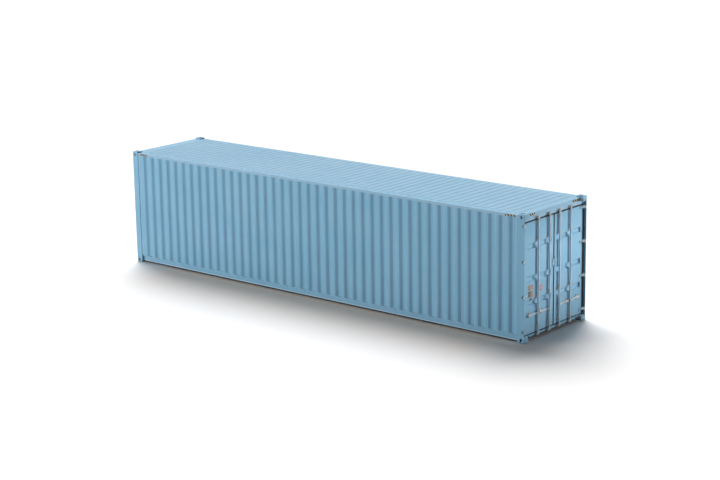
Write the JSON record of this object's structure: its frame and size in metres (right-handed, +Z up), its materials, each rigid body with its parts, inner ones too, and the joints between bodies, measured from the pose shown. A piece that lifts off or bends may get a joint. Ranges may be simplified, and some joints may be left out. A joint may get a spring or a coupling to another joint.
{
  "type": "shipping container",
  "caption": "High-cube steel freight container with corrugated walls, ribbed roof, corner castings and two rear doors that swing on hinges with turning lock rods.",
  "frame": {"origin": "on the ground, under the middle of the four bottom castings", "axes": "+X along the box towards the doors, +Y to the right door's side, +Z up"},
  "size_m": [12.192, 2.438, 2.896],
  "materials": {
    "painted_steel": "pale blue satin paint",
    "painted_casting": "pale blue paint on cast steel",
    "galvanised_steel": "dull zinc",
    "gasket_rubber": "matt black",
    "plywood": "oiled hardwood ply"
  },
  "bodies": {
    "container": {"bottom_corner_castings": "painted_casting", "top_corner_castings": "painted_casting", "front_corner_posts": "painted_steel", "rear_corner_posts": "painted_steel", "hinge_pins": "galvanised_steel", "top_side_rails": "painted_steel", "bottom_side_rails": "painted_steel", "left_side_wall": "painted_steel", "right_side_wall": "painted_steel", "front_wall": "painted_steel", "front_top_rail": "painted_steel", "front_sill": "painted_steel", "roof_panel": "painted_steel", "cross_members": "painted_steel", "gooseneck_tunnel": "painted_steel", "plywood_floor": "plywood", "door_header": "painted_steel", "door_sill": "painted_steel", "cam_keepers": "galvanised_steel"},
    "left_door": {"left_door_frame": "painted_steel", "left_door_panel": "painted_steel", "left_door_gasket": "gasket_rubber", "left_door_hinges": "galvanised_steel", "left_rod_guides": "galvanised_steel", "left_handle_rests": "galvanised_steel", "left_seal_plate": "galvanised_steel"},
    "left_inner_lock_rod": {"left_inner_lock_rod": "painted_steel", "left_inner_rod_cams": "galvanised_steel"},
    "left_inner_handle": {"left_inner_handle": "galvanised_steel"},
    "left_outer_lock_rod": {"left_outer_lock_rod": "painted_steel", "left_outer_rod_cams": "galvanised_steel"},
    "left_outer_handle": {"left_outer_handle": "galvanised_steel"},
    "right_door": {"right_door_frame": "painted_steel", "right_door_panel": "painted_steel", "right_door_gasket": "gasket_rubber", "right_door_hinges": "galvanised_steel", "right_rod_guides": "galvanised_steel", "right_handle_rests": "galvanised_steel", "right_seal_plate": "galvanised_steel"},
    "right_inner_lock_rod": {"right_inner_lock_rod": "painted_steel", "right_inner_rod_cams": "galvanised_steel"},
    "right_inner_handle": {"right_inner_handle": "galvanised_steel"},
    "right_outer_lock_rod": {"right_outer_lock_rod": "painted_steel", "right_outer_rod_cams": "galvanised_steel"},
    "right_outer_handle": {"right_outer_handle": "galvanised_steel"}
  },
  "joints": [
    {"name": "left_door_hinge", "type": "hinge", "parent": "container", "child": "left_door", "pos_m": [6.0768, -1.1998, 1.4], "axis": [0, 0, -1], "range_deg": [0, 265]},
    {"name": "left_inner_rod_turn", "type": "hinge", "parent": "left_door", "child": "left_inner_lock_rod", "pos_m": [6.06, -0.19596, 1.4], "axis": [0, 0, -1], "range_deg": [-100, 0]},
    {"name": "left_inner_handle_lift", "type": "hinge", "parent": "left_inner_lock_rod", "child": "left_inner_handle", "pos_m": [6.06, -0.24596, 0.5857], "axis": [-1, 0, 0], "range_deg": [0, 45]},
    {"name": "left_outer_rod_turn", "type": "hinge", "parent": "left_door", "child": "left_outer_lock_rod", "pos_m": [6.06, -0.63103, 1.4], "axis": [0, 0, -1], "range_deg": [-100, 0]},
    {"name": "left_outer_handle_lift", "type": "hinge", "parent": "left_outer_lock_rod", "child": "left_outer_handle", "pos_m": [6.06, -0.68103, 0.5857], "axis": [-1, 0, 0], "range_deg": [0, 45]},
    {"name": "right_door_hinge", "type": "hinge", "parent": "container", "child": "right_door", "pos_m": [6.0768, 1.1998, 1.4], "axis": [0, 0, 1], "range_deg": [0, 265]},
    {"name": "right_inner_rod_turn", "type": "hinge", "parent": "right_door", "child": "right_inner_lock_rod", "pos_m": [6.06, 0.19596, 1.4], "axis": [0, 0, 1], "range_deg": [-100, 0]},
    {"name": "right_inner_handle_lift", "type": "hinge", "parent": "right_inner_lock_rod", "child": "right_inner_handle", "pos_m": [6.06, 0.24596, 0.5857], "axis": [1, 0, 0], "range_deg": [0, 45]},
    {"name": "right_outer_rod_turn", "type": "hinge", "parent": "right_door", "child": "right_outer_lock_rod", "pos_m": [6.06, 0.63103, 1.4], "axis": [0, 0, 1], "range_deg": [-100, 0]},
    {"name": "right_outer_handle_lift", "type": "hinge", "parent": "right_outer_lock_rod", "child": "right_outer_handle", "pos_m": [6.06, 0.68103, 0.5857], "axis": [1, 0, 0], "range_deg": [0, 45]}
  ]
}
